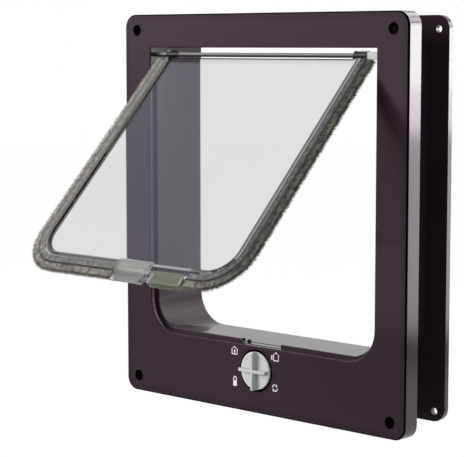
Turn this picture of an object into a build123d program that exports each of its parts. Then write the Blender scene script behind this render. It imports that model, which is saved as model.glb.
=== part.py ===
# Four-way locking cat flap: a face frame with its tunnel, an outer frame that slides over the tunnel,
# a clear flap with pile seals on a steel rod, and a rotary lock in the sill.
# Millimetres, +Z up, the room side faces -Y, the origin is the middle of the door screw pattern
# on the face frame's back.
import os
from math import cos, radians, sin, sqrt

from build123d import *

os.makedirs("parts", exist_ok=True)

# Cat passage
opening_width = 188.0
opening_height = 185.9
opening_corner = 21.0
opening_lip = 0.8
tunnel_wall = 2.0
tunnel_recess = 0.5

# Face frame round the passage
side_member = 23.5
top_member = 21.4
frame_corner = 8.5
frame_edge = 1.2
face_wall = 2.2
skirt_wall = 2.0
web_wall = 1.6
web_pitch = 24.0
web_rows = 3
web_setback = 0.6

# Door screws
screw_inset_x = 11.2
screw_inset_z = 10.2
screw_hole = 4.3
head_hole = 7.0
head_depth = 9.3
boss_wall = 1.8

# Outer frame
door_gap = 31.9
rear_inset_side = 3.5
rear_inset_top = 2.0
rear_inset_bottom = 4.0
rear_thickness = 4.6
rear_corner = 8.5
rear_edge = 1.0
rear_head_hole = 8.0
rear_head_depth = 1.6
sleeve_length = 24.0
sleeve_wall = 2.0
sleeve_clearance = 0.3

# Rib that the pile closes against, and the flap's seal
rib_height = 2.4
rib_width = 4.0
rib_bevel = 0.5
rib_top_drop = 18.0
seal_clearance = 0.3
pile_proud = 6.0
pile_clearance = 0.1

# Clear flap
flap_angle = 44.0
flap_corner = 24.0
flap_thickness = 4.6
panel_thickness = 2.0
rail_wall = 0.9
rail_depth = 4.8
rail_web = 3.7
rail_bevel = 0.5
rail_draft = 45.0
bay_height = 8.5
bay_wall = 1.0
strike_left = 7.0
strike_right = 16.3
strike_bevel = 1.6
block_rise = 0.5
catch_width = 2.0
housing_half = 13.2
housing_gap = 0.15

# Hinge
hinge_drop = 4.5
rod_diameter = 2.8
rod_fit = 0.05
rod_run = 0.07
rod_end_gap = 0.3
knuckle_wall = 1.4
knuckle_width = 9.5
knuckle_gap = 0.5
socket_depth = 5.0
socket_wall = 2.4
keeper_wall = 0.9
keeper_reach = 10.5
keeper_flange = 1.7
keeper_flange_depth = 1.5
keeper_fit = 0.1
keeper_clear = 0.6

# Magnets
magnet_length = 21.0
magnet_height = 4.0
magnet_depth = 3.0
magnet_fit = 0.2
shelf_wall = 1.4

# Rotary lock
lock_drop = 15.5
stop_rise = 7.0
stop_width = 4.4
stop_round = 1.0
stop_boss = 8.5
front_stop_thickness = 1.5
rear_stop_thickness = 1.3
stop_clearance = 0.2
flap_stop_clearance = 0.3
hub_diameter = 10.0
blade_rest_angle = 135.0
ring_clearance = 1.3
ring_wall = 1.7
ring_floor = 1.7
slot_clearance = 0.5
knob_diameter = 24.0
knob_recess = 0.6
knob_recess_gap = 0.8
knob_thickness = 1.4
knob_edge = 0.5
grip_height = 3.4
grip_width = 2.2
grip_bevel = 0.5
grip_setback = 0.7
stem_diameter = 7.0
stem_run = 0.07
stem_square = 4.4
stem_fit = 0.05
stem_short = 0.2
washer_diameter = 15.0
washer_thickness = 0.35
washer_gap = 0.05
lock_screw_head = 6.0
lock_screw_head_depth = 0.9
lock_screw_core = 2.2
lock_screw_length = 6.5
lock_screw_fit = 0.05

# Depths behind the room side of the face, in the order in which the pieces stand
front_stop_near = face_wall + stop_clearance
front_stop_far = front_stop_near + front_stop_thickness
hinge_depth = front_stop_far + flap_stop_clearance + flap_thickness / 2
rear_stop_near = hinge_depth + flap_thickness / 2 + flap_stop_clearance
rear_stop_far = rear_stop_near + rear_stop_thickness
frame_depth = rear_stop_far + lock_screw_head_depth + stop_clearance

# Heights and outlines that follow from the passage and the lock
stop_reach = lock_drop + stop_rise
ring_inner = stop_reach + ring_clearance
ring_outer = ring_inner + ring_wall
bottom_member = lock_drop + ring_outer + ring_floor
frame_width = opening_width + 2 * side_member
frame_height = opening_height + top_member + bottom_member
opening_top = frame_height / 2 - top_member
sill_z = opening_top - opening_height
opening_mid = (opening_top + sill_z) / 2
lock_z = sill_z - lock_drop
hinge_z = opening_top - hinge_drop
front_face = -frame_depth
hinge_y = front_face + hinge_depth
tunnel_end = door_gap + rear_thickness - tunnel_recess
rear_face = door_gap + rear_thickness
screw_x = frame_width - 2 * screw_inset_x
screw_z = frame_height - 2 * screw_inset_z

# Flap sizes that follow from the passage
flap_reach = hinge_z - sill_z - rib_height - seal_clearance
flap_drop = flap_reach - pile_proud
flap_width = opening_width - 2 * (rib_height + seal_clearance + pile_proud)
slot_width = flap_thickness - 2 * rail_wall
rail_width = rail_depth + rail_web
keeper_size = rod_diameter + 2 * keeper_wall
flap_top = -(keeper_size / sqrt(2) + keeper_clear)
block_bottom = -(flap_reach - block_rise)
bay_top = block_bottom + bay_height
magnet_x = ring_outer + web_pitch / 2
housing_left = magnet_x - housing_half
housing_right = magnet_x + housing_half
bay_mid = (housing_right - strike_left) / 2
bay_width = housing_right + strike_left
knuckle_reach = opening_width / 2 - keeper_reach - knuckle_gap - knuckle_width / 2


def depth(distance):
    # Plane at a distance behind the room side of the face, looking into the room
    return Plane(origin=(0, front_face + distance, 0), x_dir=(1, 0, 0), z_dir=(0, -1, 0))


def passage(margin):
    # Section of the cat passage grown by a margin: square at the top, round at the bottom
    with BuildSketch() as outline:
        with Locations((0, opening_mid)):
            Rectangle(opening_width + 2 * margin, opening_height + 2 * margin)
        fillet(outline.vertices().group_by(Axis.Y)[0], opening_corner + margin)
    return outline.sketch


def flap_outline(margin, top):
    # Outline of the flap grown by a margin, from a height near the hinge down round both corners
    height = top + flap_drop + margin
    with BuildSketch() as outline:
        with Locations((0, top - height / 2)):
            Rectangle(flap_width + 2 * margin, height)
        fillet(outline.vertices().group_by(Axis.Y)[0], flap_corner + margin)
    return outline.sketch


def blade_plate(angles):
    # Lock stop seen from the room: a round boss with a blade at each angle
    with BuildSketch() as plate:
        for angle in angles:
            with PolarLocations(stop_reach / 2, 1, start_angle=angle):
                RectangleRounded(stop_reach, stop_width, stop_round)
        Circle(stop_boss)
        Rectangle(stem_square + 2 * stem_fit, stem_square + 2 * stem_fit, mode=Mode.SUBTRACT)
    return plate.sketch


tilt = radians(flap_angle)
flap_plane = Plane(origin=(0, hinge_y, hinge_z), x_dir=(1, 0, 0), z_dir=(0, -cos(tilt), sin(tilt)))
flap_normal = Axis(flap_plane.origin, flap_plane.z_dir)
lock_place = Location((0, lock_z))

# Flap-stop rib: sides and sill, open over the lock and under the hinge
gap_half = sqrt(stop_reach**2 - lock_drop**2) + slot_clearance
with BuildPart() as stop_rib:
    with BuildSketch(depth(hinge_depth + rib_width / 2)):
        add(passage(tunnel_wall / 2))
        add(passage(-rib_height), mode=Mode.SUBTRACT)
    extrude(amount=rib_width)
    ring_faces = stop_rib.faces().filter_by(Axis.Y)
    chamfer([edge for face in ring_faces for edge in face.inner_wires()[0].edges()], rib_bevel)
    with BuildSketch(depth(hinge_depth + rib_width / 2)):
        with Locations((0, opening_top)):
            Rectangle(opening_width * 2, 2 * rib_top_drop)
        with Locations((0, sill_z)):
            Rectangle(2 * gap_half, 2 * opening_corner)
    extrude(amount=rib_width, mode=Mode.SUBTRACT)

# Face frame: hollow moulding with its tunnel, webs, bosses, lock ring and magnet shelf
web_columns = [ring_outer + row * web_pitch for row in range(web_rows)]
slot_half = sqrt(stop_reach**2 - (lock_drop - tunnel_wall) ** 2) + slot_clearance
with BuildPart() as front_frame:
    with BuildSketch(depth(frame_depth)):
        RectangleRounded(frame_width, frame_height, frame_corner)
    extrude(amount=frame_depth)
    fillet(front_frame.faces().sort_by(Axis.Y)[0].edges(), frame_edge)
    with BuildSketch(depth(frame_depth)):
        RectangleRounded(
            frame_width - 2 * skirt_wall,
            frame_height - 2 * skirt_wall,
            frame_corner - skirt_wall,
        )
    extrude(amount=frame_depth - face_wall, mode=Mode.SUBTRACT)
    # Stiffening webs in the hollow and the ring round the lock
    with BuildSketch(depth(frame_depth - web_setback)):
        with Locations(*[(side * column, 0) for side in (-1, 1) for column in web_columns]):
            Rectangle(web_wall, frame_height - skirt_wall)
        with GridLocations(0, 2 * web_pitch, 1, web_rows):
            Rectangle(frame_width - skirt_wall, web_wall)
    extrude(amount=frame_depth - web_setback - face_wall)
    with BuildSketch(depth(frame_depth - web_setback)):
        with Locations(lock_place):
            Circle(ring_outer)
            Circle(ring_inner, mode=Mode.SUBTRACT)
    extrude(amount=frame_depth - web_setback - face_wall)
    # Shelf under the sill magnet, between two webs
    with BuildSketch(depth(hinge_depth + magnet_depth)):
        with Locations((magnet_x, sill_z - tunnel_wall - magnet_height - 2 * magnet_fit - shelf_wall / 2)):
            Rectangle(web_pitch, shelf_wall)
    extrude(amount=hinge_depth + magnet_depth - face_wall)
    # Screw bosses
    with BuildSketch(depth(frame_depth)):
        with GridLocations(screw_x, screw_z, 2, 2):
            Circle(head_hole / 2 + boss_wall)
    extrude(amount=frame_depth - face_wall)
    # Tunnel sleeve, then the passage through it
    with BuildSketch(Plane(origin=(0, tunnel_end, 0), x_dir=(1, 0, 0), z_dir=(0, -1, 0))):
        add(passage(tunnel_wall))
    extrude(amount=tunnel_end - front_face - face_wall)
    with BuildSketch(Plane(origin=(0, tunnel_end, 0), x_dir=(1, 0, 0), z_dir=(0, -1, 0))):
        add(passage(0))
    extrude(amount=tunnel_end - front_face, mode=Mode.SUBTRACT)
    fillet(front_frame.faces().sort_by(Axis.Y)[0].inner_wires()[0].edges(), opening_lip)
    add(stop_rib.part)
    # Head holes from the room side, screw holes right through
    with BuildSketch(depth(0)):
        with GridLocations(screw_x, screw_z, 2, 2):
            Circle(head_hole / 2)
    extrude(amount=-head_depth, mode=Mode.SUBTRACT)
    with BuildSketch(depth(0)):
        with GridLocations(screw_x, screw_z, 2, 2):
            Circle(screw_hole / 2)
    extrude(amount=-frame_depth, mode=Mode.SUBTRACT)
    # Dial recess and stem bore
    with BuildSketch(depth(0)):
        with Locations(lock_place):
            Circle(knob_diameter / 2 + knob_recess_gap)
    extrude(amount=-knob_recess, mode=Mode.SUBTRACT)
    with BuildSketch(depth(0)):
        with Locations(lock_place):
            Circle(stem_diameter / 2 + stem_run)
    extrude(amount=-face_wall, mode=Mode.SUBTRACT)
    # Slots in the sill for the two stops
    for near, far in ((front_stop_near, front_stop_far), (rear_stop_near, rear_stop_far)):
        with BuildSketch(depth(far + stop_clearance)):
            with Locations((0, sill_z - tunnel_wall / 2)):
                Rectangle(2 * slot_half, 2 * tunnel_wall)
        extrude(amount=far - near + 2 * stop_clearance, mode=Mode.SUBTRACT)
    # Socket for the rod in the left wall, window for the keeper in the right wall
    wall_outside = opening_width / 2 + tunnel_wall
    with BuildSketch(Plane(origin=(-wall_outside, hinge_y, hinge_z), x_dir=(0, 1, 0), z_dir=(-1, 0, 0))):
        Circle(rod_diameter / 2 + rod_run + socket_wall)
    extrude(amount=socket_depth - tunnel_wall)
    with BuildSketch(Plane(origin=(-opening_width / 2, hinge_y, hinge_z), x_dir=(0, 1, 0), z_dir=(-1, 0, 0))):
        Circle(rod_diameter / 2 + rod_run)
    extrude(amount=socket_depth - rod_end_gap, mode=Mode.SUBTRACT)
    with BuildSketch(Plane(origin=(opening_width / 2, hinge_y, hinge_z), x_dir=(0, 1, 0), z_dir=(1, 0, 0))):
        Rectangle(keeper_size + 2 * keeper_fit, keeper_size + 2 * keeper_fit)
    extrude(amount=tunnel_wall, mode=Mode.SUBTRACT)
front_frame.part.label = "front_frame"
export_step(front_frame.part, "parts/front_frame.step")

# Outer frame with the sleeve that slides over the tunnel
rear_width = frame_width - 2 * rear_inset_side
rear_height = frame_height - rear_inset_top - rear_inset_bottom
rear_mid = (rear_inset_bottom - rear_inset_top) / 2
rear_plane = Plane(origin=(0, rear_face, 0), x_dir=(1, 0, 0), z_dir=(0, -1, 0))
with BuildPart() as rear_frame:
    with BuildSketch(rear_plane):
        with Locations((0, rear_mid)):
            RectangleRounded(rear_width, rear_height, rear_corner)
    extrude(amount=rear_thickness)
    chamfer(rear_frame.faces().sort_by(Axis.Y)[-1].edges(), rear_edge)
    with BuildSketch(rear_plane):
        add(passage(tunnel_wall + sleeve_clearance + sleeve_wall))
    extrude(amount=rear_thickness + sleeve_length)
    with BuildSketch(rear_plane):
        add(passage(tunnel_wall + sleeve_clearance))
    extrude(amount=rear_thickness + sleeve_length, mode=Mode.SUBTRACT)
    with BuildSketch(rear_plane):
        with GridLocations(screw_x, screw_z, 2, 2):
            Circle(screw_hole / 2)
    extrude(amount=rear_thickness, mode=Mode.SUBTRACT)
    with BuildSketch(rear_plane):
        with GridLocations(screw_x, screw_z, 2, 2):
            Circle(rear_head_hole / 2)
    extrude(amount=rear_head_depth, mode=Mode.SUBTRACT)
rear_frame.part.label = "rear_frame"
export_step(rear_frame.part, "parts/rear_frame.step")

# Sill magnet on its shelf
with BuildPart() as sill_magnet:
    with BuildSketch(depth(hinge_depth + magnet_depth / 2)):
        with Locations((magnet_x, sill_z - tunnel_wall - magnet_fit - magnet_height / 2)):
            Rectangle(magnet_length, magnet_height)
    extrude(amount=magnet_depth)
sill_magnet.part.label = "sill_magnet"
export_step(sill_magnet.part, "parts/sill_magnet.step")

# Keeper block for the rod's right end, held by a flange outside the wall
with BuildPart() as hinge_keeper:
    with BuildSketch(
        Plane(origin=(opening_width / 2 - keeper_reach, hinge_y, hinge_z), x_dir=(0, 1, 0), z_dir=(1, 0, 0))
    ):
        Rectangle(keeper_size, keeper_size)
        Circle(rod_diameter / 2 + rod_run, mode=Mode.SUBTRACT)
    extrude(amount=keeper_reach + tunnel_wall)
    chamfer(hinge_keeper.faces().sort_by(Axis.X)[0].outer_wire().edges(), keeper_wall / 2)
    with BuildSketch(Plane(origin=(wall_outside, hinge_y, hinge_z), x_dir=(0, 1, 0), z_dir=(1, 0, 0))):
        Rectangle(keeper_size + 2 * keeper_flange, keeper_size + 2 * keeper_flange)
    extrude(amount=keeper_flange_depth)
hinge_keeper.part.label = "hinge_keeper"
export_step(hinge_keeper.part, "parts/hinge_keeper.step")

# Steel rod along the top of the flap
rod_left = -opening_width / 2 - socket_depth + 2 * rod_end_gap
rod_right = wall_outside - rod_end_gap
with BuildPart() as hinge_rod:
    with BuildSketch(Plane(origin=(rod_left, hinge_y, hinge_z), x_dir=(0, 1, 0), z_dir=(1, 0, 0))):
        Circle(rod_diameter / 2)
    extrude(amount=rod_right - rod_left)
hinge_rod.part.label = "hinge_rod"
export_step(hinge_rod.part, "parts/hinge_rod.step")

# Bevelled strike block that the stops close against, let into the top of its bay
with BuildPart() as strike_block:
    with BuildSketch(flap_plane):
        with Locations(((strike_right - strike_left) / 2, (block_bottom + bay_top + strike_bevel) / 2)):
            Rectangle(strike_right + strike_left, bay_top + strike_bevel - block_bottom)
    extrude(amount=flap_thickness / 2, both=True)
    chamfer(strike_block.faces().filter_by(flap_normal).edges(), strike_bevel)

# Clear flap: a plate with a drafted pocket in each face, which leaves the thin panel between its rails
pocket_depth = (flap_thickness - panel_thickness) / 2
with BuildPart() as flap_panel:
    with BuildSketch(flap_plane):
        add(flap_outline(0, flap_top))
    extrude(amount=flap_thickness / 2, both=True)
    chamfer(flap_panel.faces().filter_by(flap_normal).edges(), rail_bevel)
    for face in (-1, 1):
        with BuildSketch(flap_plane.offset(face * panel_thickness / 2)):
            add(flap_outline(-rail_width, -flap_top))
        extrude(amount=face * (pocket_depth + rail_bevel), taper=-rail_draft, mode=Mode.SUBTRACT)
    # Tabs up to the hinge knuckles
    with BuildSketch(flap_plane):
        with Locations((-knuckle_reach, flap_top), (knuckle_reach, flap_top)):
            Rectangle(knuckle_width, -2 * flap_top)
    extrude(amount=panel_thickness / 2, both=True)
    # Slot for the pile, left solid over the bay
    with BuildSketch(flap_plane):
        add(flap_outline(pile_proud, flap_top))
        add(flap_outline(-rail_depth, -flap_top), mode=Mode.SUBTRACT)
        with Locations((bay_mid, -flap_reach)):
            Rectangle(bay_width + 2 * bay_wall, flap_reach, mode=Mode.SUBTRACT)
    extrude(amount=slot_width / 2, both=True, mode=Mode.SUBTRACT)
    # Bay in the bottom rail for the strike block, the catch and the magnet housing
    with BuildSketch(flap_plane):
        with Locations((bay_mid, -flap_reach)):
            Rectangle(bay_width, 2 * (flap_reach + bay_top))
    extrude(amount=flap_thickness, both=True, mode=Mode.SUBTRACT)
    add(strike_block.part)
    # Catch that slants from the strike block up to the housing
    with BuildSketch(flap_plane):
        with BuildLine():
            Polyline(
                (strike_right - catch_width, block_bottom),
                (strike_right + catch_width, block_bottom),
                (housing_left - housing_gap, bay_top),
                (housing_left - housing_gap - catch_width, bay_top),
                close=True,
            )
        make_face()
    extrude(amount=panel_thickness / 2, both=True)
    # Knuckles round the rod
    for knuckle_mid in (-knuckle_reach, knuckle_reach):
        with BuildSketch(
            Plane(origin=(knuckle_mid, hinge_y, hinge_z), x_dir=(0, 1, 0), z_dir=(1, 0, 0))
        ):
            Circle(rod_diameter / 2 + knuckle_wall)
        extrude(amount=knuckle_width / 2, both=True)
    with BuildSketch(Plane(origin=(0, hinge_y, hinge_z), x_dir=(0, 1, 0), z_dir=(1, 0, 0))):
        Circle(rod_diameter / 2 + rod_fit)
    extrude(amount=flap_width / 2, both=True, mode=Mode.SUBTRACT)
flap_panel.part.label = "flap_panel"
export_step(flap_panel.part, "parts/flap_panel.step")

# Pile strips in the channel, one round each bottom corner
for name, side, inner_end in (("left_pile", -1, strike_left), ("right_pile", 1, housing_right)):
    with BuildPart() as pile:
        with BuildSketch(flap_plane):
            add(flap_outline(pile_proud, flap_top - pile_clearance))
            add(flap_outline(pile_clearance - rail_depth, -flap_top), mode=Mode.SUBTRACT)
            with Locations((side * (inner_end + bay_wall + pile_clearance - flap_width), -flap_reach / 2)):
                Rectangle(2 * flap_width, 2 * flap_reach, mode=Mode.SUBTRACT)
        extrude(amount=slot_width / 2 - pile_clearance, both=True)
    pile.part.label = name
    export_step(pile.part, f"parts/{name}.step")

# Tinted housing at the bottom of the flap and the magnet in it
housing_mid = (block_bottom + bay_top) / 2
with BuildPart() as magnet_housing:
    with BuildSketch(flap_plane):
        with Locations((magnet_x, housing_mid)):
            Rectangle(2 * (housing_half - housing_gap), bay_top - block_bottom)
    extrude(amount=flap_thickness / 2, both=True)
    chamfer(magnet_housing.edges().filter_by(flap_normal), rail_bevel)
    with BuildSketch(flap_plane):
        with Locations((magnet_x, housing_mid)):
            Rectangle(magnet_length + 2 * magnet_fit, magnet_height + 2 * magnet_fit)
    extrude(amount=magnet_depth / 2 + magnet_fit, both=True, mode=Mode.SUBTRACT)
magnet_housing.part.label = "magnet_housing"
export_step(magnet_housing.part, "parts/magnet_housing.step")

with BuildPart() as flap_magnet:
    with BuildSketch(flap_plane):
        with Locations((magnet_x, housing_mid)):
            Rectangle(magnet_length, magnet_height)
    extrude(amount=magnet_depth / 2, both=True)
flap_magnet.part.label = "flap_magnet"
export_step(flap_magnet.part, "parts/flap_magnet.step")

# Friction washer in the recess under the dial
with BuildPart() as lock_washer:
    with BuildSketch(depth(knob_recess)):
        with Locations(lock_place):
            Circle(washer_diameter / 2)
            Circle(stem_diameter / 2 + stem_run, mode=Mode.SUBTRACT)
    extrude(amount=washer_thickness)
lock_washer.part.label = "lock_washer"
export_step(lock_washer.part, "parts/lock_washer.step")

# Dial: thin disc with a cross grip in front and a stem behind
disc_back = knob_recess - washer_thickness - washer_gap
disc_front = disc_back - knob_thickness
stem_end = rear_stop_far - stem_short
with BuildPart() as lock_knob:
    with BuildSketch(depth(disc_back)):
        with Locations(lock_place):
            Circle(knob_diameter / 2)
    extrude(amount=knob_thickness)
    chamfer(lock_knob.faces().sort_by(Axis.Y)[0].edges(), knob_edge)
    with BuildSketch(depth(disc_front)):
        with Locations(lock_place):
            Rectangle(knob_diameter - 2 * grip_setback, grip_width)
            Rectangle(grip_width, knob_diameter)
    extrude(amount=grip_height)
    chamfer(lock_knob.faces().sort_by(Axis.Y)[0].edges(), grip_bevel)
    with BuildSketch(depth(front_stop_near)):
        with Locations(lock_place):
            Circle(stem_diameter / 2)
    extrude(amount=front_stop_near - disc_back)
    with BuildSketch(depth(stem_end)):
        with Locations(lock_place):
            Rectangle(stem_square, stem_square)
            Circle(lock_screw_core / 2 + lock_screw_fit, mode=Mode.SUBTRACT)
    extrude(amount=stem_end - front_stop_near)
lock_knob.part.label = "lock_knob"
export_step(lock_knob.part, "parts/lock_knob.step")

# Front stop with its hub, in front of the shut flap
with BuildPart() as front_stop:
    with BuildSketch(depth(front_stop_far)):
        with Locations(lock_place):
            add(blade_plate((blade_rest_angle, blade_rest_angle + 90)))
    extrude(amount=front_stop_thickness)
    with BuildSketch(depth(rear_stop_near)):
        with Locations(lock_place):
            Circle(hub_diameter / 2)
            Rectangle(stem_square + 2 * stem_fit, stem_square + 2 * stem_fit, mode=Mode.SUBTRACT)
    extrude(amount=rear_stop_near - front_stop_far)
front_stop.part.label = "front_stop"
export_step(front_stop.part, "parts/front_stop.step")

# Rear stop, behind the shut flap
with BuildPart() as rear_stop:
    with BuildSketch(depth(rear_stop_far)):
        with Locations(lock_place):
            add(blade_plate((blade_rest_angle, blade_rest_angle + 180)))
    extrude(amount=rear_stop_thickness)
rear_stop.part.label = "rear_stop"
export_step(rear_stop.part, "parts/rear_stop.step")

# Screw that clamps the stops on the stem
with BuildPart() as lock_screw:
    with BuildSketch(depth(rear_stop_far + lock_screw_head_depth)):
        with Locations(lock_place):
            Circle(lock_screw_head / 2)
    extrude(amount=lock_screw_head_depth)
    with BuildSketch(depth(rear_stop_far)):
        with Locations(lock_place):
            Circle(lock_screw_core / 2)
    extrude(amount=lock_screw_length)
lock_screw.part.label = "lock_screw"
export_step(lock_screw.part, "parts/lock_screw.step")
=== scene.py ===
import math
import random

import bmesh
import bpy
from mathutils import Matrix, Vector


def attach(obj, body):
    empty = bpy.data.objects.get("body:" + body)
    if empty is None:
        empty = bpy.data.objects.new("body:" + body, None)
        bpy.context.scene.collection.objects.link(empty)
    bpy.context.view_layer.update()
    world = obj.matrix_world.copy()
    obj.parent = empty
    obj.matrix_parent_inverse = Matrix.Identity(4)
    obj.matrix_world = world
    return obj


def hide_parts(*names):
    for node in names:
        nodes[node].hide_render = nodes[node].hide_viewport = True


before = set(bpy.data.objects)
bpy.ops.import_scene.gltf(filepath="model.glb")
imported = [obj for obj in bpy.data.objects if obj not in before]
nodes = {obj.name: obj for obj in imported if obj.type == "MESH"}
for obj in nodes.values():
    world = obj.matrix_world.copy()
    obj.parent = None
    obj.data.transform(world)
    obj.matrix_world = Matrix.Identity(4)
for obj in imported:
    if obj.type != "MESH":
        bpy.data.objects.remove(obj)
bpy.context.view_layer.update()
mm = 0.001
print("frame loaded:", len(nodes), "nodes")

# the clear flap at rest: x along the hinge, y up the panel, z out of its room side
flapPose = {"hinge": (0.0, -5.0 * mm, 99.1 * mm), "openAngle": 44.0}
# its outline in millimetres: half its width, how far it hangs below the hinge, and its round corners
flapEdge = {"halfWidth": 85.3, "drop": 172.7, "corner": 24.0}


def flapMatrix():
    tilt = math.radians(flapPose["openAngle"])
    across = Vector((1.0, 0.0, 0.0))
    out = Vector((0.0, -math.cos(tilt), math.sin(tilt)))
    up = out.cross(across)
    turn = Matrix((across, up, out)).transposed().to_4x4()
    return Matrix.Translation(flapPose["hinge"]) @ turn


def addNode(tree, kind, **values):
    node = tree.nodes.new(kind)
    for name, value in values.items():
        if hasattr(node, name):
            setattr(node, name, value)
        else:
            node.inputs[name.replace("_", " ")].default_value = value
    return node


def newMaterial(name):
    material = bpy.data.materials.new(name)
    material.use_nodes = True
    tree = material.node_tree
    return material, tree, tree.nodes["Principled BSDF"]


def newGroup(name, inputs, outputs):
    tree = bpy.data.node_groups.new(name, "ShaderNodeTree")
    for label, kind, value in inputs:
        socket = tree.interface.new_socket(label, in_out="INPUT", socket_type=kind)
        socket.default_value = value
    for label, kind in outputs:
        tree.interface.new_socket(label, in_out="OUTPUT", socket_type=kind)
    return tree, tree.nodes.new("NodeGroupInput"), tree.nodes.new("NodeGroupOutput")


def placeGroup(tree, group, **values):
    node = tree.nodes.new("ShaderNodeGroup")
    node.node_tree = group
    for name, value in values.items():
        node.inputs[name].default_value = value
    return node


def mathNode(tree, operation, first, second=0.0):
    node = addNode(tree, "ShaderNodeMath", operation=operation)
    for socket, value in zip(node.inputs, (first, second)):
        if isinstance(value, (int, float)):
            socket.default_value = value
        else:
            tree.links.new(value, socket)
    return node.outputs[0]


def mixColour(tree, factor, first, second, blend="MIX"):
    node = addNode(tree, "ShaderNodeMix", data_type="RGBA", blend_type=blend)
    for index, value in ((0, factor), (6, first), (7, second)):
        if isinstance(value, (int, float, tuple)):
            node.inputs[index].default_value = value
        else:
            tree.links.new(value, node.inputs[index])
    return node.outputs[2]


def coordinates(tree, kind="Object"):
    return addNode(tree, "ShaderNodeTexCoord").outputs[kind]


def axesOf(tree, source):
    split = addNode(tree, "ShaderNodeSeparateXYZ")
    tree.links.new(source, split.inputs[0])
    return split.outputs


# object coordinates that are stretched, turned or moved
def stretched(tree, **values):
    mapping = addNode(tree, "ShaderNodeMapping", **values)
    tree.links.new(coordinates(tree), mapping.inputs["Vector"])
    return mapping.outputs[0]


# noise by its scale, detail and distortion
def grain(tree, place, scale, detail, distortion=0.0):
    noise = addNode(tree, "ShaderNodeTexNoise", Scale=scale, Detail=detail, Distortion=distortion)
    tree.links.new(place, noise.inputs["Vector"])
    return noise.outputs["Fac"]


# from the first level to the second while the value passes from edge to edge
def ramp(tree, value, edges, levels=(0.0, 1.0), kind="LINEAR"):
    node = addNode(
        tree, "ShaderNodeMapRange", interpolation_type=kind,
        From_Min=edges[0], From_Max=edges[1], To_Min=levels[0], To_Max=levels[1],
    )
    tree.links.new(value, node.inputs[0])
    return node.outputs[0]


# one between two edges and zero outside them, with soft turns
def band(tree, value, edges, soft):
    rise = ramp(tree, value, (edges[0] - soft, edges[0] + soft))
    fall = ramp(tree, value, (edges[1] - soft, edges[1] + soft), (1.0, 0.0))
    return mathNode(tree, "MULTIPLY", rise, fall)


# straight distance from its two sides
def spanOf(tree, across, upward):
    squares = [mathNode(tree, "MULTIPLY", side, side) for side in (across, upward)]
    return mathNode(tree, "POWER", mathNode(tree, "ADD", *squares), 0.5)


def mixSurface(tree, factor, first, second):
    either = addNode(tree, "ShaderNodeMixShader")
    for socket, value in zip(either.inputs, (factor, first.outputs[0], second.outputs[0])):
        tree.links.new(value, socket)
    tree.links.new(either.outputs[0], tree.nodes["Material Output"].inputs["Surface"])


def bumpFrom(tree, shader, height, strength, distance):
    bump = addNode(tree, "ShaderNodeBump", Strength=strength, Distance=distance)
    tree.links.new(height, bump.inputs["Height"])
    tree.links.new(bump.outputs[0], shader.inputs["Normal"])


# gives nodes of the frame their finish
def coat(material, *nodeNames):
    for nodeName in nodeNames:
        mesh = nodes[nodeName].data
        mesh.materials.clear()
        mesh.materials.append(material)


# moulded plastic: slow tone drift, faint hairlines and a fine orange peel
mouldMarks = {
    "flow": (13.0, 3.0, 0.6), "flowRough": 0.25, "peelDetail": 1.5,
    "hairStretch": (80.0, 80.0, 1400.0), "hairTurn": (0.3, 0.5, 0.2), "hairGrain": (1.0, 2.0),
    "hairline": (0.66, 0.8), "hairRough": 0.06,
}
# how deep the bumps of each kind of surface are, and how much it bends light
bumpDepth = {"moulded": 0.1 * mm, "clear": 0.2 * mm, "drawn": 0.1 * mm}
refraction = {"moulded": 1.5, "clear": 1.47}


def makeMouldedSkin():
    tree, given, result = newGroup(
        "mouldedSkin",
        [
            ("Colour", "NodeSocketColor", (0.5, 0.5, 0.5, 1.0)),
            ("Drift", "NodeSocketFloat", 0.2),
            ("Roughness", "NodeSocketFloat", 0.3),
            ("Peel", "NodeSocketFloat", 900.0),
        ],
        [("Colour", "NodeSocketColor"), ("Roughness", "NodeSocketFloat"), ("Height", "NodeSocketFloat")],
    )
    place = coordinates(tree)
    flow = mathNode(tree, "SUBTRACT", grain(tree, place, *mouldMarks["flow"]), 0.5)
    tone = mathNode(tree, "MULTIPLY", flow, given.outputs["Drift"])
    bright = mathNode(tree, "ADD", tone, 1.0)
    level = addNode(tree, "ShaderNodeCombineColor")
    for socket in level.inputs[:3]:
        tree.links.new(bright, socket)
    colour = mixColour(tree, 1.0, given.outputs["Colour"], level.outputs[0], "MULTIPLY")
    tree.links.new(colour, result.inputs["Colour"])
    stretch = stretched(tree, Scale=mouldMarks["hairStretch"], Rotation=mouldMarks["hairTurn"])
    hairline = ramp(tree, grain(tree, stretch, *mouldMarks["hairGrain"]), mouldMarks["hairline"])
    rough = mathNode(tree, "MULTIPLY", hairline, mouldMarks["hairRough"])
    rough = mathNode(tree, "ADD", rough, mathNode(tree, "MULTIPLY", tone, mouldMarks["flowRough"]))
    tree.links.new(mathNode(tree, "ADD", rough, given.outputs["Roughness"]), result.inputs["Roughness"])
    peel = addNode(tree, "ShaderNodeTexNoise", Detail=mouldMarks["peelDetail"])
    tree.links.new(place, peel.inputs["Vector"])
    tree.links.new(given.outputs["Peel"], peel.inputs["Scale"])
    tree.links.new(peel.outputs["Fac"], result.inputs["Height"])
    return tree


# dust that settles on faces that look up
dustLayer = {
    "facing": (0.5, 0.95), "grain": (420.0, 4.0), "spots": (0.42, 0.7),
    "colour": (0.32, 0.3, 0.28), "rough": 0.4,
}


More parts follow.
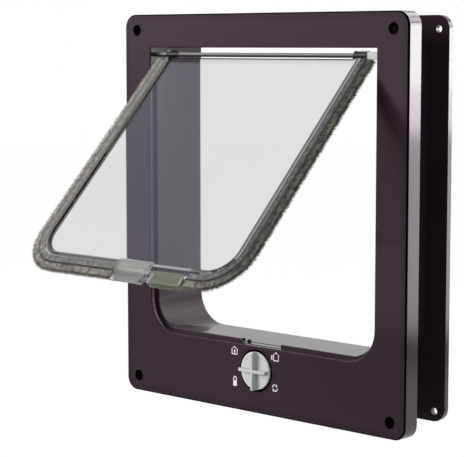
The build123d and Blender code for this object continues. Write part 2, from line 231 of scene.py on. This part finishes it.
def makeSettledDust():
    tree, given, result = newGroup(
        "settledDust", [("Amount", "NodeSocketFloat", 0.2)], [("Mask", "NodeSocketFloat")]
    )
    upward = ramp(tree, axesOf(tree, coordinates(tree, "Normal"))["Z"], dustLayer["facing"])
    spots = ramp(tree, grain(tree, coordinates(tree), *dustLayer["grain"]), dustLayer["spots"])
    both = mathNode(tree, "MULTIPLY", upward, spots)
    tree.links.new(mathNode(tree, "MULTIPLY", both, given.outputs["Amount"]), result.inputs["Mask"])
    return tree


# in millimetres: painted shade in the dial's gap, a painted highlight on its rim, and painted shade in the
# wells of the door screws and on the outer edge
dial = {"axis": (0.0, -97.8), "gap": (11.9, 13.5), "rim": (11.35, 12.1), "soft": 0.12}
wells = {"axis": (106.3, 114.8), "reach": (-1.0, 3.65), "depth": (-12.5, -0.4)}
outerEdge = {"from": (113.5, 121.0), "facing": (0.3, 0.95), "soft": 0.06}


def axisRadius(tree, across, upward, axis):
    aside = mathNode(tree, "SUBTRACT", across, axis[0] * mm)
    above = mathNode(tree, "SUBTRACT", upward, axis[1] * mm)
    return mathNode(tree, "DIVIDE", spanOf(tree, aside, above), mm)


def makePaintedShadeAndHighlight():
    tree, _, result = newGroup("paintedShadeAndHighlight", [], [("Gap", "NodeSocketFloat"), ("Rim", "NodeSocketFloat")])
    across, inward, upward = axesOf(tree, coordinates(tree))
    radius = axisRadius(tree, across, upward, dial["axis"])
    sides = [mathNode(tree, "ABSOLUTE", side) for side in (across, upward)]
    well = band(tree, axisRadius(tree, *sides, wells["axis"]), wells["reach"], dial["soft"])
    depth = band(tree, mathNode(tree, "DIVIDE", inward, mm), wells["depth"], dial["soft"])
    gap = mathNode(tree, "MAXIMUM", band(tree, radius, dial["gap"], dial["soft"]), well)
    gap = mathNode(tree, "MULTIPLY", gap, depth)
    beyond = [
        mathNode(tree, "GREATER_THAN", side, limit * mm) for side, limit in zip(sides, outerEdge["from"])
    ]
    forward = mathNode(tree, "MULTIPLY", axesOf(tree, coordinates(tree, "Normal"))["Y"], -1.0)
    turned = band(tree, forward, outerEdge["facing"], outerEdge["soft"])
    edge = mathNode(tree, "MULTIPLY", turned, mathNode(tree, "MAXIMUM", *beyond))
    # Gap: painted shade in the dial's gap, in the screw wells and on the outer edge
    tree.links.new(mathNode(tree, "MAXIMUM", gap, edge), result.inputs["Gap"])
    # Rim: a painted highlight on the dial's rim
    tree.links.new(band(tree, radius, dial["rim"], dial["soft"]), result.inputs["Rim"])
    return tree


mouldedSkin = makeMouldedSkin()
settledDust = makeSettledDust()
paintedShadeAndHighlight = makePaintedShadeAndHighlight()


def placeSkin(tree, finish):
    return placeGroup(
        tree, mouldedSkin,
        Colour=(*finish["colour"], 1.0), Drift=finish["drift"],
        Roughness=finish["roughness"], Peel=finish["peel"],
    ).outputs


def mouldedPlastic(name, finish):
    material, tree, shader = newMaterial(name)
    skin = placeSkin(tree, finish)
    dust = placeGroup(tree, settledDust, Amount=finish["dust"]).outputs["Mask"]
    colour = mixColour(tree, dust, skin["Colour"], (*dustLayer["colour"], 1.0))
    rough = mathNode(tree, "ADD", skin["Roughness"], mathNode(tree, "MULTIPLY", dust, dustLayer["rough"]))
    # a ring of painted shade (Gap) or of painted highlight (Rim) mixed into the colour and roughness
    if "ring" in finish:
        zone, tint, zoneRoughness = finish["ring"]
        ring = placeGroup(tree, paintedShadeAndHighlight).outputs[zone]
        colour = mixColour(tree, ring, colour, (*tint, 1.0))
        rough = mathNode(tree, "ADD", rough, mathNode(tree, "MULTIPLY", ring, zoneRoughness))
        # painted shade in the gaps: near black, matte and hardly mirroring
        if zone == "Gap":
            tree.links.new(ring, shader.inputs["Metallic"])  # near black metal hardly mirrors
    tree.links.new(colour, shader.inputs["Base Color"])
    tree.links.new(rough, shader.inputs["Roughness"])
    shader.inputs["IOR"].default_value = refraction["moulded"]
    shader.inputs["Specular Tint"].default_value = (*finish.get("sheen", (1.0, 1.0, 1.0)), 1.0)
    bumpFrom(tree, shader, skin["Height"], finish["bump"], bumpDepth["moulded"])
    return material


# plum plastic with painted shade in the dial's gap, the screw wells and on the outer edge
plumPlastic = mouldedPlastic(
    "plumPlastic",
    {"colour": (0.041, 0.0253, 0.035), "drift": 0.2, "roughness": 0.13, "peel": 700.0, "bump": 0.04,
     "dust": 0.06, "ring": ("Gap", (0.003, 0.002, 0.003), 0.6), "sheen": (1.0, 0.86, 0.97)},
)
greyPlastic = mouldedPlastic(
    "greyPlastic",
    {"colour": (0.68, 0.675, 0.67), "drift": 0.1, "roughness": 0.34, "peel": 1500.0, "bump": 0.08,
     "dust": 0.05},
)
# its rim carries a painted highlight
dialPlastic = mouldedPlastic(
    "dialPlastic",
    {"colour": (0.62, 0.62, 0.628), "drift": 0.1, "roughness": 0.3, "peel": 1500.0, "bump": 0.08,
     "dust": 0.05, "ring": ("Rim", (0.92, 0.92, 0.92), 0.05)},
)
darkPlastic = mouldedPlastic(
    "darkPlastic",
    {"colour": (0.012, 0.012, 0.013), "drift": 0.2, "roughness": 0.42, "peel": 1500.0, "bump": 0.1,
     "dust": 0.1},
)
coat(plumPlastic, "front_frame", "rear_frame")
coat(dialPlastic, "lock_knob")
coat(greyPlastic, "hinge_keeper")
coat(darkPlastic, "front_stop", "rear_stop", "lock_washer")


# tinted and frosted zones of the clear flap, greyer along its hinge, in millimetres across it, up it or in
# from its edge
rail = {
    "bay": (-8.0, 51.9), "block": (-8.0, 19.5), "blockDepth": (-3.0, 9.6),
    "lines": ((-3.0, 0.7), (3.3, 3.9), (7.3, 7.9)), "ledge": (4.0, 8.4), "top": (-4.8, 9.0),
    "rim": (-3.0, 0.9), "web": (5.2, 8.8), "crease": (6.4, 7.0), "soft": 0.25,
}


def makeRailStain():
    labels = ("Rim", "Web", "Crease", "Block", "Lines", "Top")
    tree, _, result = newGroup("railStain", [], [(label, "NodeSocketFloat") for label in labels])
    turn = flapMatrix().inverted()
    lay = stretched(
        tree, Location=turn.translation / mm, Rotation=turn.to_euler(), Scale=(1.0 / mm, 1.0 / mm, 1.0 / mm)
    )
    across, upward, _ = axesOf(tree, lay)
    aside = mathNode(tree, "ABSOLUTE", across)
    below = mathNode(tree, "MULTIPLY", upward, -1.0)
    past = [
        mathNode(tree, "MAXIMUM", mathNode(tree, "SUBTRACT", side, flapEdge[name] - flapEdge["corner"]), 0.0)
        for side, name in ((aside, "halfWidth"), (below, "drop"))
    ]
    inward = mathNode(tree, "SUBTRACT", flapEdge["corner"], spanOf(tree, *past))
    bay, block = (band(tree, across, rail[name], rail["soft"]) for name in ("bay", "block"))
    free = mathNode(tree, "SUBTRACT", 1.0, bay)
    beside = mathNode(tree, "SUBTRACT", bay, block)
    first, second, third = (band(tree, inward, edges, rail["soft"]) for edges in rail["lines"])
    lines = mathNode(tree, "MAXIMUM", first, mathNode(tree, "MAXIMUM", second, third))
    strips = {
        name: band(tree, inward, rail[name], rail["soft"])
        for name in ("rim", "web", "crease", "blockDepth", "ledge")
    }
    ledge = mathNode(tree, "MULTIPLY", beside, strips["ledge"])
    masks = {
        "Rim": mathNode(tree, "MULTIPLY", strips["rim"], free),
        "Web": mathNode(tree, "MULTIPLY", strips["web"], free),
        "Crease": mathNode(tree, "MULTIPLY", strips["crease"], free),
        "Block": mathNode(tree, "MULTIPLY", block, strips["blockDepth"]),
        "Lines": mathNode(tree, "MAXIMUM", mathNode(tree, "MULTIPLY", block, lines), ledge),
        "Top": band(tree, upward, rail["top"], rail["soft"]),
    }
    for label in labels:
        tree.links.new(masks[label], result.inputs[label])
    return tree


# clear plastic: tinted a little, with slow waves and hairlines, and light that passes in its shadow
def clearPlastic(name, finish):
    material, tree, shader = newMaterial(name)
    skin = placeSkin(tree, finish)
    colour, rough = skin["Colour"], skin["Roughness"]
    if "tints" in finish:
        zones = placeGroup(tree, makeRailStain()).outputs
        for zone, tint in finish["tints"].items():
            colour = mixColour(tree, zones[zone], colour, (*tint, 1.0))
        for zone, frost in finish["frost"].items():
            rough = mathNode(tree, "ADD", rough, mathNode(tree, "MULTIPLY", zones[zone], frost))
    tree.links.new(colour, shader.inputs["Base Color"])
    tree.links.new(rough, shader.inputs["Roughness"])
    shader.inputs["IOR"].default_value = refraction["clear"]
    shader.inputs["Specular Tint"].default_value = (*finish["sheen"], 1.0)
    shader.inputs["Transmission Weight"].default_value = finish["clear"]
    bumpFrom(tree, shader, skin["Height"], finish["bump"], bumpDepth["clear"])
    through = addNode(tree, "ShaderNodeBsdfTransparent", Color=(*finish["shadow"], 1.0))
    mixSurface(tree, addNode(tree, "ShaderNodeLightPath").outputs["Is Shadow Ray"], shader, through)
    return material


clearPanel = clearPlastic(
    "clearPanel",
    {
        "colour": (0.779, 0.762, 0.765), "drift": 0.03, "roughness": 0.03, "peel": 30.0, "bump": 0.04,
        "shadow": (0.8, 0.81, 0.8), "clear": 1.0, "sheen": (0.84, 0.78, 1.0),
        "tints": {
            "Web": (0.19, 0.178, 0.15), "Crease": (0.02, 0.019, 0.017), "Rim": (0.22, 0.21, 0.19),
            "Block": (0.9, 0.89, 0.86), "Lines": (0.4, 0.395, 0.38), "Top": (0.5, 0.5, 0.505),
        },
        "frost": {"Rim": 0.5, "Block": 0.55},
    },
)
tintedClear = clearPlastic(
    "tintedClear",
    {"colour": (0.52, 0.53, 0.43), "drift": 0.25, "roughness": 0.22, "peel": 60.0, "bump": 0.05,
     "shadow": (0.5, 0.55, 0.5), "clear": 0.8, "sheen": (1.0, 1.0, 1.0)},
)
coat(clearPanel, "flap_panel")
coat(tintedClear, "magnet_housing")


# drawn steel with fine lines along the rod and painted shade on its underside, and sintered iron with an
# even grain
def drawnSteel(name, finish):
    material, tree, shader = newMaterial(name)
    lines = grain(tree, stretched(tree, Scale=finish["grain"]), 1.0, finish["detail"])
    colour = mixColour(tree, lines, (*finish["dark"], 1.0), (*finish["light"], 1.0))
    # painted shade: darker underneath and lighter on top, by which way the surface faces
    if "under" in finish:
        top = ramp(tree, axesOf(tree, coordinates(tree, "Normal"))["Z"], finish["facing"])
        colour = mixColour(tree, top, (*finish["under"], 1.0), colour)
    tree.links.new(colour, shader.inputs["Base Color"])
    tree.links.new(ramp(tree, lines, (0.0, 1.0), finish["roughness"]), shader.inputs["Roughness"])
    shader.inputs["Metallic"].default_value = finish["metal"]
    bumpFrom(tree, shader, lines, finish["bump"], bumpDepth["drawn"])
    return material


rodSteel = drawnSteel(
    "rodSteel",
    {"grain": (20.0, 2500.0, 2500.0), "detail": 3.0, "bump": 0.1, "dark": (0.6, 0.6, 0.59),
     "light": (0.82, 0.82, 0.81), "roughness": (0.24, 0.36), "metal": 0.35,
     "under": (0.05, 0.05, 0.048), "facing": (-0.3, 0.9)},
)
sinteredIron = drawnSteel(
    "sinteredIron",
    {"grain": (900.0, 900.0, 900.0), "detail": 3.0, "bump": 0.1, "dark": (0.05, 0.05, 0.052),
     "light": (0.16, 0.16, 0.165), "roughness": (0.45, 0.7), "metal": 1.0},
)
coat(rodSteel, "hinge_rod", "lock_screw")
coat(sinteredIron, "sill_magnet", "flap_magnet")
print("finishes on the frame's nodes")


def addObject(name, data):
    thing = bpy.data.objects.new(name, data)
    bpy.context.scene.collection.objects.link(thing)
    return thing


def finishedMesh(thing):
    bpy.context.view_layer.update()
    return bpy.data.meshes.new_from_object(thing.evaluated_get(bpy.context.evaluated_depsgraph_get()))


def keepPiece(name, mesh, material, body):
    mesh.name = name
    mesh.materials.clear()
    mesh.materials.append(material)
    piece = addObject(name, mesh)
    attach(piece, body)
    return piece


# pile seal: fibres in a dense core, wound along the channel of the flap, in millimetres, degrees and shares
pile = {
    "base": 4.7, "proud": 6.0, "top": -4.2, "bay": (-8.2, 51.9), "stretch": 21.0, "handle": 1.0,
    "roundness": 48, "core": 0.78, "coreWidth": 1.6, "coreCuts": 11, "coreShade": 0.25,
    "fibresPerMm": 26, "fibreRadius": 0.13, "fibreTip": 0.35, "fibreReach": (0.88, 0.985),
    "fibreShade": (0.15, 1.0), "spread": 1.2, "fill": 0.9, "lean": 3.5, "sideLean": 0.3, "seed": 11,
}
# its dark and light fibres, with painted shade that darkens them towards the right
pileTones = {
    "litTone": ((0.18, 0.17, 0.154, 1.0), (0.57, 0.545, 0.5, 1.0)),
    "shadedTone": ((0.012, 0.011, 0.01, 1.0), (0.22, 0.205, 0.175, 1.0)),
    "turn": (55.0 * mm, 84.0 * mm), "patches": (360.0, 4.0), "tufts": (0.38, 0.62),
    "fibreShare": 0.4, "tuftShare": 0.6, "roughness": (0.75, 0.95), "sheen": 0.25,
}
quarterPull = 0.5523  # handle length of a quarter circle, as a share of its radius


def pileFinish():
    material, tree, shader = newMaterial("pileFibre")
    shade = addNode(tree, "ShaderNodeAttribute", attribute_name="shade").outputs["Fac"]
    place = coordinates(tree)
    patches = grain(tree, place, *pileTones["patches"])
    tufts = mathNode(tree, "MULTIPLY", ramp(tree, patches, pileTones["tufts"]), pileTones["tuftShare"])
    mixed = mathNode(tree, "ADD", mathNode(tree, "MULTIPLY", shade, pileTones["fibreShare"]), tufts)
    litTone, shadedTone = (mixColour(tree, mixed, *pileTones[state]) for state in ("litTone", "shadedTone"))
    # painted shade: the fibres darken towards the right strip
    turn = ramp(tree, axesOf(tree, place)["X"], pileTones["turn"])
    tree.links.new(mixColour(tree, turn, litTone, shadedTone), shader.inputs["Base Color"])
    tree.links.new(ramp(tree, patches, (0.0, 1.0), pileTones["roughness"]), shader.inputs["Roughness"])
    shader.inputs["Sheen Weight"].default_value = pileTones["sheen"]
    return material


pileFibre = pileFinish()


# a path from one end of a strip round its corner to the other end
def pilePath(points, radius):
    start, corner, end = (Vector((*point, 0.0)) * mm for point in points)
    toStart, toEnd = (start - corner).normalized(), (end - corner).normalized()
    first, second = corner + toStart * radius * mm, corner + toEnd * radius * mm
    pull = quarterPull * radius * mm
    reach = pile["handle"] * mm
    knots = (
        (start, start - toStart * reach, start - toStart * reach),
        (first, first + toStart * reach, first - toStart * pull),
        (second, second - toEnd * pull, second + toEnd * reach),
        (end, end - toEnd * reach, end - toEnd * reach),
    )
    curve = bpy.data.curves.new("pilePath", "CURVE")
    curve.dimensions = "2D"
    curve.resolution_u = pile["roundness"]
    spline = curve.splines.new("BEZIER")
    spline.bezier_points.add(len(knots) - 1)
    for knot, (spot, before, after) in zip(spline.bezier_points, knots):
        knot.co = spot
        knot.handle_left_type = knot.handle_right_type = "FREE"
        knot.handle_left, knot.handle_right = before, after
    length = (start - first).length + (end - second).length + math.pi / 2 * radius * mm
    return curve, length


# one straight stretch of pile, which is repeated along the path
def pileStretch(name, step, tall):
    chance = random.Random(pile["seed"] + len(name))
    bm = bmesh.new()
    shade = bm.faces.layers.float.new("shade")
    core = tall * pile["core"]
    coreSize = Matrix.Diagonal((step, core, pile["coreWidth"] * pile["spread"] * mm, 1.0))
    bmesh.ops.create_cube(bm, size=1.0, matrix=Matrix.Translation((step / 2, -core / 2, 0.0)) @ coreSize)
    nearlyAlong = 0.9
    lengthways = [
        line for line in bm.edges
        if abs((line.verts[0].co - line.verts[1].co).normalized().x) > nearlyAlong
    ]
    bmesh.ops.subdivide_edges(bm, edges=lengthways, cuts=pile["coreCuts"])
    for face in bm.faces:
        face[shade] = pile["coreShade"]
    out = Matrix.Rotation(math.radians(90.0), 4, "X")
    for _ in range(int(step / mm * pile["fibresPerMm"])):
        reach = tall * chance.uniform(*pile["fibreReach"])
        aside = chance.uniform(0.0, step)
        spot = Vector((aside, 0.0, chance.uniform(-1.0, 1.0) * pile["spread"] * pile["fill"] * mm))
        lean = Matrix.Rotation(math.radians(chance.gauss(0.0, pile["lean"])), 4, "Z")
        tip = Matrix.Rotation(math.radians(chance.gauss(0.0, pile["lean"] * pile["sideLean"])), 4, "X")
        matrix = Matrix.Translation(spot) @ lean @ tip @ out @ Matrix.Translation((0.0, 0.0, reach / 2))
        fibre = bmesh.ops.create_cone(
            bm, cap_ends=True, segments=3, depth=reach, matrix=matrix,
            radius1=pile["fibreRadius"] * mm, radius2=pile["fibreRadius"] * pile["fibreTip"] * mm,
        )
        tint = chance.uniform(*pile["fibreShade"])
        for face in {face for corner in fibre["verts"] for face in corner.link_faces}:
            face[shade] = tint
    mesh = bpy.data.meshes.new(name)
    bm.to_mesh(mesh)
    bm.free()
    return mesh


def pileStrip(name, points, radius, nodeName):
    curve, length = pilePath(points, radius)
    repeats = max(1, round(length / (pile["stretch"] * mm)))
    step = length / repeats
    guide = addObject("pileGuide", curve)
    strip = addObject("pileStretch", pileStretch(name, step, (pile["base"] + pile["proud"]) * mm))
    rows = strip.modifiers.new("rows", "ARRAY")
    rows.count = repeats
    rows.use_relative_offset = False
    rows.use_constant_offset = True
    rows.constant_offset_displace = (step, 0.0, 0.0)
    wind = strip.modifiers.new("wind", "CURVE")
    wind.object = guide
    wind.deform_axis = "POS_X"
    wound = finishedMesh(strip)
    bpy.data.objects.remove(strip)
    bpy.data.objects.remove(guide)
    wound.transform(flapMatrix())
    piece = keepPiece(name, wound, pileFibre, "flap")
    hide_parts(nodeName)
    print(name, len(wound.polygons), "faces")


side = flapEdge["halfWidth"] - pile["base"]
low = pile["base"] - flapEdge["drop"]
bend = flapEdge["corner"] - pile["base"]
pileStrip("leftPile", ((-side, pile["top"]), (-side, low), (pile["bay"][0], low)), bend, "left_pile")
pileStrip("rightPile", ((pile["bay"][1], low), (side, low), (side, pile["top"])), bend, "right_pile")


# white signs round the dial: each is a few strokes in millimetres across and up from its own middle
signs = {
    "stroke": 0.36, "proud": 0.06, "face": -11.5,
    "paint": {"colour": (0.95, 0.945, 0.94), "drift": 0.08, "roughness": 0.45, "peel": 2500.0},
    "strokes": {
        "inside": ((-18.4, -87.0), [
            [(-2.2, -2.5), (-2.2, 0.4), (-2.8, 0.4), (0.0, 2.4),
             (2.8, 0.4), (2.2, 0.4), (2.2, -2.5), (-2.2, -2.5)],
            [(-0.1, -1.7), (-0.1, 0.4)],
            [(0.25, -1.7), (0.25, 0.2)],
        ]),
        "outside": ((15.9, -86.9), [
            [(-1.1, -2.6), (-1.1, 0.5), (-1.7, 0.5), (0.9, 2.6),
             (3.5, 0.5), (2.9, 0.5), (2.9, -2.6), (-1.1, -2.6)],
            [(-2.7, -2.2), (-2.7, 0.6)],
            [(-2.4, -2.2), (-2.4, 0.2)],
        ]),
        "padlock": ((-18.0, -106.7), [
            [(-1.3, -2.9), (-1.3, 0.0), (1.3, 0.0), (1.3, -2.9), (-1.3, -2.9)],
            [(-0.6, -2.6), (-0.6, -0.2)],
            [(0.05, -2.6), (0.05, -0.2)],
            [(0.65, -2.6), (0.65, -0.2)],
            [(-1.2, 0.3), (-1.2, 1.9), (-0.6, 2.7), (0.6, 2.7), (1.2, 1.9), (1.2, 0.3)],
        ]),
        "bothWays": ((16.0, -106.7), [
            [(-2.1, 0.1), (-1.7, 1.2), (-0.7, 1.9), (0.4, 1.9)],
            [(0.9, 2.3), (1.9, 1.1), (0.6, 0.9)],
            [(2.1, -0.1), (1.7, -1.2), (0.7, -1.9), (-0.4, -1.9)],
            [(-0.9, -2.3), (-1.9, -1.1), (-0.6, -0.9)],
        ]),
    },
}


def signPaint():
    material, tree, shader = newMaterial("signPaint")
    skin = placeSkin(tree, signs["paint"])
    tree.links.new(skin["Colour"], shader.inputs["Base Color"])
    tree.links.new(skin["Roughness"], shader.inputs["Roughness"])
    return material


def makeSigns():
    curve = bpy.data.curves.new("signLines", "CURVE")
    curve.dimensions = "3D"
    curve.bevel_depth = signs["stroke"] * mm
    curve.bevel_resolution = 2
    curve.use_fill_caps = True
    for middle, lines in signs["strokes"].values():
        for line in lines:
            spline = curve.splines.new("POLY")
            spline.points.add(len(line) - 1)
            for point, spot in zip(spline.points, line):
                point.co = ((middle[0] + spot[0]) * mm, (middle[1] + spot[1]) * mm, 0.0, 1.0)
    drawn = addObject("signLines", curve)
    mesh = finishedMesh(drawn)
    bpy.data.objects.remove(drawn)
    flat = Matrix.Diagonal((1.0, 1.0, signs["proud"] / signs["stroke"], 1.0))
    stand = Matrix.Translation((0.0, signs["face"] * mm, 0.0)) @ Matrix.Rotation(math.radians(90.0), 4, "X")
    mesh.transform(stand @ flat)
    keepPiece("dialSigns", mesh, signPaint(), "frame")


makeSigns()
print("pile and signs made")

# studio in metres: pale floor and white surround
studio = {
    "ambient": 0.15, "floorHeight": -0.19, "floorReach": 3.0,
    "floorColour": (0.6, 0.6, 0.6), "floorRoughness": 0.9, "floorWhite": 1.1, "floorShare": 0.88,
}
# directions along which the glow in reflections changes
toward = {
    "sky": (0.0, 0.0, 1.0), "behind": (0.686, 0.728, 0.0), "viewer": (0.7, -0.71, 0.0),
    "across": (0.796, -0.605, 0.0),
}
# each glow has its direction, where along it the level turns, and the levels before and after
surround = {
    "front": ("sky", (-0.07, 0.01), (0.05, 0.66)),
    "back": ("behind", (-0.6, 0.95), (0.0, 1.65)),
    "shade": ("viewer", (-0.1, 0.5), (1.0, 0.03)),
}
ground = {
    "near": ("behind", (-0.1, 0.25), (0.06, 1.25)),
    "far": ("behind", (0.58, 0.72), (1.0, 0.2)),
    "beside": ("across", (0.03, 0.06), (1.0, 0.0)),
    "farthest": ("behind", (0.8, 0.95), (0.0, 1.0)),
    "shade": ("viewer", (0.1, 0.4), (1.0, 0.05)),
}


def along(tree, place, direction, turn, levels):
    lean = addNode(tree, "ShaderNodeVectorMath", operation="DOT_PRODUCT")
    tree.links.new(place, lean.inputs[0])
    lean.inputs[1].default_value = toward[direction]
    return ramp(tree, lean.outputs["Value"], turn, levels, "SMOOTHSTEP")


# how bright a reflection sees the surround: full behind the object, dim in front, dark beside the camera
def surroundGlow(tree, place):
    front, back, shade = (along(tree, place, *glow) for glow in surround.values())
    rise = mathNode(tree, "MULTIPLY", back, mathNode(tree, "SUBTRACT", 1.0, front))
    return mathNode(tree, "MULTIPLY", mathNode(tree, "ADD", front, rise), shade)


# the same for the floor: dark in front, bright just behind the object, with a dim band farther off
def floorGlow(tree, place):
    near, far, beside, farthest, shade = (along(tree, place, *glow) for glow in ground.values())
    far = mathNode(tree, "ADD", mathNode(tree, "MAXIMUM", far, beside), farthest)
    return mathNode(tree, "MULTIPLY", mathNode(tree, "MULTIPLY", near, far), shade)


# white for the camera and through clear plastic, a glow in reflections, and a set level for the rest
def seenLevel(tree, glow, level):
    path = addNode(tree, "ShaderNodeLightPath").outputs
    mirrored = mathNode(tree, "GREATER_THAN", path["Glossy Depth"], 0.5)
    through = mathNode(tree, "MAXIMUM", path["Is Camera Ray"], path["Is Transmission Ray"])
    seen = mathNode(tree, "MULTIPLY", through, mathNode(tree, "SUBTRACT", 1.0, mirrored))
    shine = mathNode(tree, "MULTIPLY", mirrored, mathNode(tree, "MAXIMUM", through, path["Is Glossy Ray"]))
    rest = mathNode(tree, "SUBTRACT", 1.0, mathNode(tree, "MAXIMUM", seen, shine))
    bright = mathNode(tree, "ADD", seen, mathNode(tree, "MULTIPLY", shine, glow))
    return mathNode(tree, "ADD", bright, mathNode(tree, "MULTIPLY", rest, level)), rest


def makeSurround():
    world = bpy.data.worlds.new("studio")
    bpy.context.scene.world = world
    world.use_nodes = True
    tree = world.node_tree
    background = tree.nodes["Background"]
    background.inputs["Color"].default_value = (1.0, 1.0, 1.0, 1.0)
    level, _ = seenLevel(tree, surroundGlow(tree, coordinates(tree, "Generated")), studio["ambient"])
    tree.links.new(level, background.inputs["Strength"])


def makeFloor():
    bm = bmesh.new()
    lowered = Matrix.Translation((0.0, 0.0, studio["floorHeight"]))
    bmesh.ops.create_grid(bm, x_segments=2, y_segments=2, size=studio["floorReach"], matrix=lowered)
    mesh = bpy.data.meshes.new("floor")
    bm.to_mesh(mesh)
    bm.free()
    floor = addObject("floor", mesh)
    material, tree, shader = newMaterial("paleFloor")
    shader.inputs["Base Color"].default_value = (*studio["floorColour"], 1.0)
    shader.inputs["Roughness"].default_value = studio["floorRoughness"]
    white = addNode(tree, "ShaderNodeEmission", Color=(1.0, 1.0, 1.0, 1.0))
    level, rest = seenLevel(tree, floorGlow(tree, coordinates(tree)), 0.0)
    tree.links.new(mathNode(tree, "MULTIPLY", level, studio["floorWhite"]), white.inputs["Strength"])
    share = mathNode(tree, "MULTIPLY", mathNode(tree, "SUBTRACT", 1.0, rest), studio["floorShare"])
    mixSurface(tree, share, shader, white)
    mesh.materials.append(material)


# soft boxes light the object and aren't mirrored in it
# near boxes are only mirrored, each in one stretch of the object, and through lets clear plastic show them
boxes = {
    "frontBox": {"at": (-1.3, -1.45, 0.45), "to": (0.0, 0.0, 0.0), "size": (1.1, 1.1), "power": 40.0},
    "topBox": {"at": (0.15, 0.95, 1.0), "to": (0.0, 0.0, 0.0), "size": (0.7, 0.5), "power": 3.5},
    "upperBox": {
        "at": (0.1, 0.29, 0.4), "to": (0.11, 0.0, 0.122), "size": (0.24, 0.13), "power": 0.05, "near": True,
    },
    "fillBox": {"at": (1.1, -0.7, 0.35), "to": (0.0, 0.0, 0.0), "size": (0.8, 0.8), "power": 2.0},
    "cornerBox": {
        "at": (0.31, 0.29, 0.3), "to": (0.115, 0.0, 0.118), "size": (0.2, 0.2), "power": 0.09, "near": True,
    },
    "hollowBox": {
        "at": (0.06, 0.31, 0.13), "to": (-0.08, 0.015, -0.06), "size": (0.36, 0.24), "power": 0.026,
        "near": True,
    },
    "memberBox": {
        "at": (-0.163, -0.306, -0.02), "to": (0.105, -0.012, 0.03), "size": (0.14, 0.2), "power": 0.003,
        "near": True, "through": True,
    },
    "flapBox": {
        "at": (-0.27, -0.1, 0.33), "to": (0.0, -0.065, 0.035), "size": (0.32, 0.32), "power": 0.0045,
        "near": True, "through": True, "colour": (0.15, 0.55, 1.0),
    },
    "highBox": {
        "at": (0.356, 0.321, 0.135), "to": (0.118, 0.0, 0.135), "size": (0.125, 0.13), "power": 0.07,
        "near": True, "colour": (0.95, 1.0, 0.93),
    },
    "midBox": {
        "at": (0.356, 0.321, 0.0525), "to": (0.118, 0.0, 0.0525), "size": (0.125, 0.035), "power": 0.0135,
        "near": True,
    },
    "lowBox": {
        "at": (0.356, 0.321, -0.0475), "to": (0.118, 0.0, -0.0475), "size": (0.125, 0.165), "power": 0.0178,
        "near": True,
    },
}
boxSpread = {"soft": 180.0, "near": 60.0}


# one lamp, aimed at a point
def hangBox(name, box):
    near = box.get("near", False)
    lamp = bpy.data.lights.new(name, "AREA")
    lamp.shape = "RECTANGLE"
    lamp.size, lamp.size_y = box["size"]
    lamp.energy = box["power"]
    lamp.color = box.get("colour", (1.0, 1.0, 1.0))
    lamp.spread = math.radians(boxSpread["near" if near else "soft"])
    holder = addObject(name, lamp)
    holder.location = box["at"]
    aim = Vector(box["to"]) - Vector(box["at"])
    holder.rotation_euler = aim.to_track_quat("-Z", "Y").to_euler()
    holder.visible_camera = False
    holder.visible_glossy = near
    holder.visible_transmission = box.get("through", False)
    holder.visible_diffuse = not near


makeSurround()
makeFloor()
for boxName, box in boxes.items():
    hangBox(boxName, box)

# camera of the photograph, in metres, degrees and millimetres of lens
camera = {
    "at": (0.7147, -0.79158, 0.10586), "yaw": 43.31, "pitch": 6.15, "lens": 132.81, "sensor": 36.0,
    "clip": (0.01, 20.0),
}


def makeCamera():
    data = bpy.data.cameras.new("camera")
    data.lens = camera["lens"]
    data.sensor_width = camera["sensor"]
    data.clip_start, data.clip_end = camera["clip"]
    holder = addObject("camera", data)
    holder.location = camera["at"]
    holder.rotation_euler = (math.radians(90.0 - camera["pitch"]), 0.0, math.radians(camera["yaw"]))
    bpy.context.scene.camera = holder


makeCamera()
bpy.context.scene.view_settings.view_transform = "Standard"
print("studio and camera set")
